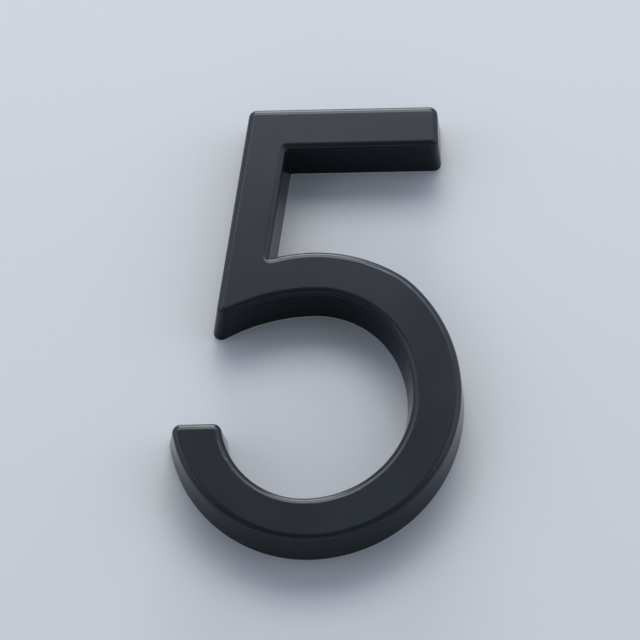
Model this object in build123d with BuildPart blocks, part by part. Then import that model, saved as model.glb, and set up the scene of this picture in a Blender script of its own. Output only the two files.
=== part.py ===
"""House number 5: a satin black plastic moulding that is stuck flat on a door or wall.

All sizes are in millimetres. The number stands upright as it is read: +X to its right, +Z up.
Its back lies in the plane Y = 0, against the wall, and its face looks along -Y. Z = 0 is the
baseline, where the bowl's lowest point lies, and X = 0 is the middle of the number's width.
The outline is drawn on the mounting plane, where it is largest, and tapers in towards the face.
"""

import os
from math import cos, radians, sin, tan

from build123d import *

# Overall sizes, across the back
height = 50.0
depth = 6.6
draft_angle = 4.5

# Top bar: its right end, and its thickness
bar_right = 14.5
bar_thickness = 5.75

# Stem: its top left corner, its width square to its length, and its lean to the left going down
stem_left = -7.03
stem_width = 5.63
stem_lean = 9.65

# Outer edge of the bowl: tangent arcs to each side of its lowest point
bowl_low_x = -1.1
outer_lower_right = 17.2
outer_lower_right_sweep = 133.2
outer_upper_right = 10.45
outer_upper_right_sweep = 16.1
outer_upper_left = 17.9
outer_lower_left = 15.0

# Inner edge of the bowl: how wide the stroke is at four places, and the flat arc under the stem
stroke_bottom = 5.7
stroke_side = 6.13
stroke_top = 5.8
stroke_end = 6.3
inner_low_x = -1.4
inner_lower_right_sweep = 114.6
inner_upper_left = 21.2

# Height at which the bowl's open end is cut level
end_height = 14.15

# Rounded corners down the sides: those that point outward, and those that point inward
outer_corner = 0.9
inner_corner = 0.2

# Rolled edge all round the face, and the most of an outward corner's radius that it may take
face_edge = 0.75
face_edge_ratio = 0.84

# Moulded shell: side walls, face, and the ribs across the hollow back
wall = 1.3
face_thickness = 1.5
rib = 0.9
bar_ribs = 2
bar_rib_pitch = 8.5
stem_ribs = 2
stem_rib_pitch = 9.5
bowl_ribs = 7
bowl_rib_first = -135.0
bowl_rib_last = 81.0

# How far round the bowl's arcs run on, past the pieces that end them
outer_overrun_angle = 60.0
inner_overrun_angle = 40.0
end_overrun_angle = 115.0

# An angle that is plainly a corner, where tangent arcs meet at none
least_corner_angle = 5.0


def corners(solid, outward):
    """The edges where two sides of a solid meet at an outward corner, or else at an inward one."""
    sides = solid.faces().filter_by(Axis.Y, reverse=True)
    found = ShapeList()
    for edge in solid.edges():
        normals = [side.normal_at(edge @ 0.5) for side in sides if edge in side.edges()]
        if len(normals) == 2 and normals[0].get_angle(normals[1]) > least_corner_angle:
            if edge.is_interior != outward:
                found.append(edge)
    return found


# Places worked out from the sizes above
lean = radians(stem_lean)
stem_across = stem_width / cos(lean)
stem_drop = height - end_height
bowl_right = bowl_low_x + outer_lower_right
bowl_left = bowl_low_x - outer_lower_left
outer_turn = radians(outer_lower_right_sweep - 90)
outer_next_turn = outer_turn + radians(outer_upper_right_sweep)
bowl_top = (
    outer_lower_right
    + (outer_lower_right - outer_upper_right) * sin(outer_turn)
    + (outer_upper_right - outer_upper_left) * sin(outer_next_turn)
    + outer_upper_left
)
inner_lower_right = bowl_right - stroke_side - inner_low_x
inner_rise = sin(radians(inner_lower_right_sweep - 90))
inner_upper_right = (
    bowl_top - stroke_top - stroke_bottom - inner_lower_right * (1 + inner_rise)
) / (1 - inner_rise)
inner_lower_left = inner_low_x - bowl_left - stroke_end
stem_middle_z = (height - bar_thickness + bowl_top) / 2
stem_middle_x = stem_left + stem_across / 2 - (height - stem_middle_z) * tan(lean)

# The rolled edge stays smaller than the outward corners that it runs round
rolled_edge = min(face_edge, face_edge_ratio * outer_corner)

with BuildSketch(Plane.XZ) as outline:
    # Bowl, filled across
    with BuildLine():
        arc_1 = JernArc((bowl_low_x, 0), (1, 0), outer_lower_right, outer_lower_right_sweep)
        arc_2 = JernArc(arc_1 @ 1, arc_1 % 1, outer_upper_right, outer_upper_right_sweep)
        arc_3 = JernArc(arc_2 @ 1, arc_2 % 1, outer_upper_left, outer_overrun_angle)
        arc_4 = JernArc((bowl_low_x, 0), (-1, 0), outer_lower_left, -end_overrun_angle)
        Polyline(arc_3 @ 1, ((arc_3 @ 1).X, (arc_4 @ 1).Y), arc_4 @ 1)
    make_face()
    # Stem, running down into the mouth, and the bar across its top
    with BuildLine():
        Polyline(
            (stem_left, height),
            (stem_left + stem_across, height),
            (stem_left + stem_across - stem_drop * tan(lean), end_height),
            (stem_left - stem_drop * tan(lean), end_height),
            close=True,
        )
    make_face()
    with Locations((stem_left, height)):
        Rectangle(bar_right - stem_left, bar_thickness, align=(Align.MIN, Align.MAX))
    # Counter inside the bowl, and the mouth that ends the stem and the bowl on the left
    with BuildLine():
        arc_1 = JernArc((inner_low_x, stroke_bottom), (1, 0), inner_lower_right, inner_lower_right_sweep)
        arc_2 = JernArc(arc_1 @ 1, arc_1 % 1, inner_upper_right, 180 - inner_lower_right_sweep)
        arc_3 = JernArc(arc_2 @ 1, arc_2 % 1, inner_upper_left, inner_overrun_angle)
        arc_4 = JernArc((inner_low_x, stroke_bottom), (-1, 0), inner_lower_left, -end_overrun_angle)
        Line(arc_3 @ 1, arc_4 @ 1)
    make_face(mode=Mode.SUBTRACT)
    with Locations((bowl_left, end_height)):
        Rectangle(
            inner_low_x - bowl_left,
            (arc_3 @ 1).Y - end_height,
            align=Align.MIN,
            mode=Mode.SUBTRACT,
        )

# Pockets that the moulding's core pins leave in the back, parted by the ribs
with BuildPart() as cores:
    with BuildSketch(Plane.XZ):
        add(outline.sketch)
        offset(amount=-wall)
    extrude(amount=depth - face_thickness)
    draft(cores.faces().filter_by(Axis.Y, reverse=True), Plane.XZ, draft_angle)
    with BuildSketch(Plane.XZ):
        with Locations(((stem_left + stem_across + bar_right) / 2, height)):
            with GridLocations(bar_rib_pitch, 0, bar_ribs, 1):
                Rectangle(rib, 2 * bar_thickness)
        with Locations(Location((stem_middle_x, stem_middle_z, 0), (0, 0, 1), -stem_lean)):
            with GridLocations(0, stem_rib_pitch, 1, stem_ribs):
                Rectangle(2 * stem_width, rib)
        with Locations((bowl_low_x, outer_lower_right)):
            with PolarLocations(
                outer_lower_right - stroke_side / 2,
                bowl_ribs,
                bowl_rib_first,
                bowl_rib_last - bowl_rib_first,
                endpoint=True,
            ):
                Rectangle(2 * stroke_side, rib)
    extrude(amount=depth, mode=Mode.SUBTRACT)

with BuildPart() as number_five:
    extrude(outline.sketch, amount=depth)
    draft(number_five.faces().filter_by(Axis.Y, reverse=True), Plane.XZ, draft_angle)
    fillet(corners(number_five.part, True), outer_corner)
    fillet(corners(number_five.part, False), inner_corner)
    fillet(number_five.faces().sort_by(Axis.Y)[0].edges(), rolled_edge)
    add(cores.part, mode=Mode.SUBTRACT)

os.makedirs("parts", exist_ok=True)
number_five.part.label = "house number 5"
export_step(number_five.part, "parts/number_five.step")
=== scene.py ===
"""Looks of a moulded house number 5 on a pale painted wall, under soft studio light.

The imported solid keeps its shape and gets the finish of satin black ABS. The wall behind it, the
lamps and the camera make the picture. Sizes are in millimetres unless a name says otherwise.
"""

import logging
import math
from dataclasses import dataclass, replace
from enum import Enum
from typing import Any, Self

import bmesh
import bpy
from mathutils import Matrix, Vector

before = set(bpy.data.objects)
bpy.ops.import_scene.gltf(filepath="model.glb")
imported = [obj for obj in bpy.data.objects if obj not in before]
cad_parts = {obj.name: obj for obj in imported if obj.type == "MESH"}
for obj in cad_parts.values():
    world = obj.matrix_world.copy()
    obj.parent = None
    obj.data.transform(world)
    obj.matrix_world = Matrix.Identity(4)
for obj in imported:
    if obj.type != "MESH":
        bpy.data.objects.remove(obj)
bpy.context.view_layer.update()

LOG = logging.getLogger("house_number")
# Blender works in metres
MM = 0.001


class Piece(Enum):
    """Name of the object's one piece, and a material slot name that nothing uses."""

    NODE = "number_five"
    SLOT = "black_plastic"


class Light(Enum):
    """Colours of light that the lamps and the room give."""

    WHITE = "#ffffff"
    COOL = "#e4eeff"
    SKY = "#d0e0ff"
    ROOM = "#ccd8ea"


def linear(hex_colour: str) -> tuple[float, float, float, float]:
    """Turn an sRGB hex colour into linear light.

    Args:
        hex_colour: colour as "#rrggbb".

    Returns:
        Linear red, green and blue, and an alpha of 1.
    """
    coded = [int(hex_colour[i : i + 2], 16) / 255 for i in (1, 3, 5)]
    red, green, blue = (c / 12.92 if c <= 0.04045 else ((c + 0.055) / 1.055) ** 2.4 for c in coded)
    return red, green, blue, 1.0


def add_node(
    tree: bpy.types.NodeTree,
    kind: str,
    inputs: dict[str | int, Any] | None = None,
    **settings: Any,
) -> bpy.types.Node:
    """Add one node with its settings, values and links.

    Args:
        tree: node tree that the node joins.
        kind: Blender's name for the kind of node.
        inputs: a value, or another node's output, for each input socket.
        **settings: properties of the node, by name.

    Returns:
        The new node.
    """
    node = tree.nodes.new(kind)
    for name, value in settings.items():
        setattr(node, name, value)
    for socket, value in (inputs or {}).items():
        if isinstance(value, bpy.types.NodeSocket):
            tree.links.new(value, node.inputs[socket])
        else:
            node.inputs[socket].default_value = value
    return node


def new_material(name: str) -> tuple[bpy.types.Material, bpy.types.NodeTree]:
    """Make an empty node material.

    Args:
        name: the material's name.

    Returns:
        The material, and its cleared node tree.
    """
    material = bpy.data.materials.new(name)
    material.use_nodes = True
    material.node_tree.nodes.clear()
    return material, material.node_tree


def per_metre(feature: float) -> float:
    """Noise scale that gives features of about this many millimetres in metre coordinates."""
    return 1 / (feature * MM)


@dataclass(frozen=True)
class MouldedAbs:
    """Black ABS moulded against a fine spark-eroded tool, with polished edges and sides."""

    name: str = "abs_satin_black_moulded"
    ior: float = 1.53

    # Colour and sheen of the face, from the low to the high end of the melt's flow clouds
    deep: str = "#13161c"
    light: str = "#181c23"
    roughness: float = 0.3
    roughness_spread: float = 0.02
    flow: float = 9.0
    flow_low: float = 0.3
    flow_high: float = 0.7

    # Grain that the eroded tool leaves
    grain: float = 0.16
    grain_height: float = 0.002
    grain_strength: float = 0.35

    # Polish, by how the surface lies: -1 is square to the way ahead, as the face is, and 0 is along it
    polish_start: float = -0.7
    polish_full: float = -0.2
    side_roughness: float = 0.12
    face_specular: float = 0.5
    side_specular: float = 0.04

    def material(self) -> bpy.types.Material:
        """Build the material.

        Returns:
            The finished material.
        """
        # To the eye: a near-black face with a hint of blue and a soft wide sheen, and crisper edges
        material, tree = new_material(self.name)
        place = add_node(tree, "ShaderNodeTexCoord").outputs["Object"]
        # Melt flow leaves clouds a few millimetres wide in the colour and the sheen
        flow = add_node(
            tree,
            "ShaderNodeTexNoise",
            {"Vector": place, "Scale": per_metre(self.flow), "Detail": 3.0, "Roughness": 0.55},
        ).outputs["Fac"]
        colour = add_node(tree, "ShaderNodeValToRGB", {"Fac": flow})
        stops = ((self.flow_low, self.deep), (self.flow_high, self.light))
        for element, (position, shade) in zip(colour.color_ramp.elements, stops):
            element.position = position
            element.color = linear(shade)
        sheen = add_node(
            tree,
            "ShaderNodeMapRange",
            {
                "Value": flow,
                "From Min": self.flow_low,
                "From Max": self.flow_high,
                "To Min": self.roughness - self.roughness_spread,
                "To Max": self.roughness + self.roughness_spread,
            },
        ).outputs["Result"]
        # The tool is polished along its rolled edges and drafted sides so that the moulding slides out,
        # so they mirror more sharply than the face. Draw lines from the tool leave the sides bright only
        # at a glancing angle, and dark from straight on
        facing = add_node(tree, "ShaderNodeTexCoord").outputs["Normal"]
        ahead = add_node(tree, "ShaderNodeSeparateXYZ", {"Vector": facing}).outputs["Y"]
        polish, shine = (
            add_node(
                tree,
                "ShaderNodeMapRange",
                {
                    "Value": ahead,
                    "From Min": self.polish_start,
                    "From Max": self.polish_full,
                    "To Min": on_face,
                    "To Max": on_side,
                },
            ).outputs["Result"]
            for on_face, on_side in (
                (sheen, self.side_roughness),
                (self.face_specular, self.side_specular),
            )
        )
        # Pits of the eroded tool: about 0.05 mm on the real face, drawn coarser so that they show
        grain = add_node(
            tree,
            "ShaderNodeTexNoise",
            {"Vector": place, "Scale": per_metre(self.grain), "Detail": 2.0, "Roughness": 0.6},
        )
        bump = add_node(
            tree,
            "ShaderNodeBump",
            {
                "Height": grain.outputs["Fac"],
                "Strength": self.grain_strength,
                "Distance": self.grain_height * MM,
            },
        )
        shader = add_node(
            tree,
            "ShaderNodeBsdfPrincipled",
            {
                "Base Color": colour.outputs["Color"],
                "Roughness": polish,
                "IOR": self.ior,
                "Specular IOR Level": shine,
                "Normal": bump.outputs["Normal"],
            },
        )
        add_node(tree, "ShaderNodeOutputMaterial", {"Surface": shader.outputs["BSDF"]})
        return material


@dataclass(frozen=True)
class RolledEmulsion:
    """Matt emulsion rolled on a flat wall. Its back lets light by."""

    name: str = "emulsion_matt_rolled"
    colour: str = "#e3e1dc"
    roughness: float = 0.7
    tooth: float = 0.7
    tooth_height: float = 0.01
    tooth_strength: float = 0.3

    def material(self) -> bpy.types.Material:
        """Build the material.

        Returns:
            The finished material.
        """
        # To the eye: pale and even, with a faint tooth from the roller
        material, tree = new_material(self.name)
        place = add_node(tree, "ShaderNodeTexCoord").outputs["Object"]
        tooth = add_node(
            tree,
            "ShaderNodeTexNoise",
            {"Vector": place, "Scale": per_metre(self.tooth), "Detail": 2.0},
        )
        bump = add_node(
            tree,
            "ShaderNodeBump",
            {
                "Height": tooth.outputs["Fac"],
                "Strength": self.tooth_strength,
                "Distance": self.tooth_height * MM,
            },
        )
        paint = add_node(
            tree,
            "ShaderNodeBsdfPrincipled",
            {
                "Base Color": linear(self.colour),
                "Roughness": self.roughness,
                "Normal": bump.outputs["Normal"],
            },
        )
        # The wall has one side, so that the number's back can be looked at
        nothing = add_node(tree, "ShaderNodeBsdfTransparent")
        side = add_node(tree, "ShaderNodeNewGeometry").outputs["Backfacing"]
        either = add_node(
            tree,
            "ShaderNodeMixShader",
            {0: side, 1: paint.outputs["BSDF"], 2: nothing.outputs["BSDF"]},
        )
        add_node(tree, "ShaderNodeOutputMaterial", {"Surface": either.outputs["Shader"]})
        return material


@dataclass
class HouseNumber:
    """The moulded number itself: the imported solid, in its finish."""

    finish: MouldedAbs = MouldedAbs()

    def build(self) -> bpy.types.Object:
        """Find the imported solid, which stays where it is."""
        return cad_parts[Piece.NODE.value]

    def dress(self, solid: bpy.types.Object) -> None:
        """Give the solid its finish.

        Args:
            solid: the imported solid.
        """
        solid.data.materials.clear()
        solid.data.materials.append(self.finish.material())


@dataclass
class StudioSweep:
    """A pale wall behind the number that curves forward into the studio floor far below."""

    width: float = 1800.0
    top: float = 900.0
    floor: float = -1200.0
    front: float = -450.0
    bend: float = 200.0
    gap: float = 0.03
    weld: float = 0.001
    steps: int = 16
    finish: RolledEmulsion = RolledEmulsion()

    def profile(self) -> list[tuple[float, float]]:
        """Trace the sweep from the top of the wall to the front of the floor.

        Returns:
            Points as (y, z).
        """
        points = [(self.gap, self.top)]
        for step in range(self.steps + 1):
            turn = math.pi / 2 * step / self.steps
            y = self.gap - self.bend * (1 - math.cos(turn))
            z = self.floor + self.bend * (1 - math.sin(turn))
            points.append((y, z))
        points.append((self.front, self.floor))
        return points

    def outline(self, solid: bpy.types.Object) -> list[Vector]:
        """Trace the outer edge of the number's back.

        Args:
            solid: the number, with its back in the plane y = 0.

        Returns:
            Points round the edge, in metres.
        """
        back = bmesh.new()
        back.from_mesh(solid.data)
        back.transform(solid.matrix_world)
        others = [face for face in back.faces if min(vert.co.y for vert in face.verts) < -self.gap * MM]
        bmesh.ops.delete(back, geom=others, context="FACES")
        bmesh.ops.remove_doubles(back, verts=back.verts, dist=self.weld * MM)
        # The lowest corner is on the outer edge, so the walk from it goes round that edge
        vert = min(back.verts, key=lambda corner: corner.co.z)
        edge = next(edge for edge in vert.link_edges if edge.is_boundary)
        points: list[Vector] = []
        while not points or vert.co != points[0]:
            points.append(vert.co.copy())
            vert = edge.other_vert(vert)
            edge = next(other for other in vert.link_edges if other.is_boundary and other != edge)
        back.free()
        return points

    def build(self, solid: bpy.types.Object) -> bpy.types.Object:
        """Build the sheet, with its front towards the number and cut away behind it.

        Args:
            solid: the number, whose back is lit and can be looked at through the cut.

        Returns:
            The wall and floor.
        """
        sheet = bmesh.new()
        rows = [
            [sheet.verts.new((x * MM, y * MM, z * MM)) for x in (-self.width / 2, self.width / 2)]
            for y, z in self.profile()
        ]
        for (left, right), (next_left, next_right) in zip(rows[1:], rows[2:]):
            sheet.faces.new((next_left, next_right, right, left)).smooth = True
        hole = [sheet.verts.new((point.x, self.gap * MM, point.z)) for point in self.outline(solid)]
        border = [rows[0][0], rows[0][1], rows[1][1], rows[1][0]]
        edges = [
            sheet.edges.get(pair) or sheet.edges.new(pair)
            for ring in (border, hole)
            for pair in zip(ring, ring[1:] + ring[:1])
        ]
        bmesh.ops.triangle_fill(sheet, edges=edges, use_beauty=True, normal=(0, -1, 0))
        mesh = bpy.data.meshes.new("studio_sweep")
        sheet.to_mesh(mesh)
        sheet.free()
        sweep = bpy.data.objects.new("studio_sweep", mesh)
        bpy.context.scene.collection.objects.link(sweep)
        return sweep

    def dress(self, sweep: bpy.types.Object) -> None:
        """Paint the sweep.

        Args:
            sweep: the wall and floor.
        """
        sweep.data.materials.append(self.finish.material())


@dataclass(frozen=True)
class SoftBox:
    """One rectangular studio lamp, which looks at the middle of the number."""

    name: str
    place: tuple[float, float, float]
    size: tuple[float, float]
    watts: float
    colour: Light = Light.WHITE
    aim: tuple[float, float, float] = (0.0, 0.0, 25.0)

    def pair(self) -> tuple[Self, Self]:
        """Hang this lamp, which is on the right, on both sides.

        Returns:
            The left lamp and the right one.
        """
        x, y, z = self.place
        left = replace(self, name=f"{self.name}_left", place=(-x, y, z))
        return left, replace(self, name=f"{self.name}_right")

    def build(self) -> bpy.types.Object:
        """Hang the lamp and turn it to its aim.

        Returns:
            The lamp.
        """
        light = bpy.data.lights.new(self.name, "AREA")
        light.shape = "RECTANGLE"
        light.size, light.size_y = (side * MM for side in self.size)
        light.energy = self.watts
        light.color = linear(self.colour.value)[:3]
        lamp = bpy.data.objects.new(self.name, light)
        lamp.location = Vector(self.place) * MM
        lamp.rotation_euler = (Vector(self.aim) - Vector(self.place)).to_track_quat("-Z", "Y").to_euler()
        bpy.context.scene.collection.objects.link(lamp)
        return lamp


@dataclass
class Studio:
    """The lamps and the room's own light."""

    key: SoftBox = SoftBox("key", (0, -528, 484), (400, 260), 1.12)
    broad: SoftBox = SoftBox("broad", (0, -552, 463), (850, 300), 1.52, Light.COOL)
    top: SoftBox = SoftBox("top", (0, -122, 714), (360, 250), 2.5)
    fill: SoftBox = SoftBox("fill", (558, -349, 264), (1000, 700), 0.97, Light.SKY)
    side: SoftBox = SoftBox("side", (525, -440, 25), (500, 400), 0.32, Light.SKY)

    # Strength of the room's light: ahead of the number, to its sides, and lower down in both places
    room: Light = Light.ROOM
    ahead: float = 0.24
    aside: float = 0.62
    below_ahead: float = 0.04
    below_aside: float = 0.3

    # Where that light changes: a direction's part along Y, -1 straight ahead, or Z, -1 straight down
    straight_ahead: float = -1.0
    aside_from: float = -0.55
    level_from: float = 0.1
    dim_ahead_below: float = -0.2
    dim_aside_below: float = -0.5

    def build(self) -> list[bpy.types.Object]:
        """Light the scene.

        Returns:
            The lamps.
        """
        self.build_room()
        lamps = (self.key, self.broad, self.top, *self.fill.pair(), *self.side.pair())
        return [lamp.build() for lamp in lamps]

    def build_room(self) -> None:
        """Make the room: dim ahead of the number, where its face mirrors it, and pale to the sides."""
        world = bpy.data.worlds.new("room")
        world.use_nodes = True
        tree = world.node_tree
        towards = add_node(tree, "ShaderNodeTexCoord").outputs["Generated"]
        part = add_node(tree, "ShaderNodeSeparateXYZ", {"Vector": towards}).outputs
        front, sides = (
            add_node(
                tree,
                "ShaderNodeMapRange",
                {
                    "Value": part["Z"],
                    "From Min": lowest,
                    "From Max": self.level_from,
                    "To Min": below,
                    "To Max": level,
                },
                interpolation_type="SMOOTHSTEP",
            ).outputs["Result"]
            for lowest, below, level in (
                (self.dim_ahead_below, self.below_ahead, self.ahead),
                (self.dim_aside_below, self.below_aside, self.aside),
            )
        )
        strength = add_node(
            tree,
            "ShaderNodeMapRange",
            {
                "Value": part["Y"],
                "From Min": self.straight_ahead,
                "From Max": self.aside_from,
                "To Min": front,
                "To Max": sides,
            },
            interpolation_type="SMOOTHSTEP",
        )
        background = tree.nodes["Background"]
        background.inputs["Color"].default_value = linear(self.room.value)
        tree.links.new(strength.outputs["Result"], background.inputs["Strength"])
        bpy.context.scene.world = world


@dataclass
class Viewpoint:
    """The camera: below the number, looking up at it, close to square on."""

    focal: float = 182.8
    sensor: float = 36.0
    nearest: float = 10.0
    aim: tuple[float, float, float] = (0.6, -6.6, 24.92)
    distance: float = 350.4
    tilt_degrees: float = 18.0
    roll_degrees: float = 1.2

    def build(self) -> bpy.types.Object:
        """Set up the camera and make it the scene's own.

        Returns:
            The camera.
        """
        tilt, roll = math.radians(self.tilt_degrees), math.radians(self.roll_degrees)
        ahead = Vector((0, math.cos(tilt), math.sin(tilt)))
        level = Vector((1, 0, 0))
        above = level.cross(ahead)
        right = math.cos(roll) * level - math.sin(roll) * above
        up = math.sin(roll) * level + math.cos(roll) * above
        data = bpy.data.cameras.new("camera")
        data.sensor_width = self.sensor
        data.lens = self.focal
        data.clip_start = self.nearest * MM
        camera = bpy.data.objects.new("camera", data)
        turn = Matrix((right, up, -ahead)).transposed().to_4x4()
        camera.matrix_world = Matrix.Translation((Vector(self.aim) - self.distance * ahead) * MM) @ turn
        bpy.context.scene.collection.objects.link(camera)
        bpy.context.scene.camera = camera
        return camera


def main() -> None:
    """Build the number, the wall, the lamps and the camera."""
    logging.basicConfig(level=logging.INFO, format="%(name)s: %(message)s")
    bpy.context.scene.view_settings.view_transform = "Standard"
    number = HouseNumber()
    solid = number.build()
    number.dress(solid)
    LOG.info("%s in %s", solid.name, number.finish.name)
    sweep = StudioSweep()
    wall = sweep.build(solid)
    sweep.dress(wall)
    LOG.info("%s in %s", wall.name, sweep.finish.name)
    for lamp in Studio().build():
        LOG.info("lamp %s", lamp.name)
    LOG.info("camera %s", Viewpoint().build().name)


if __name__ == "__main__":
    main()
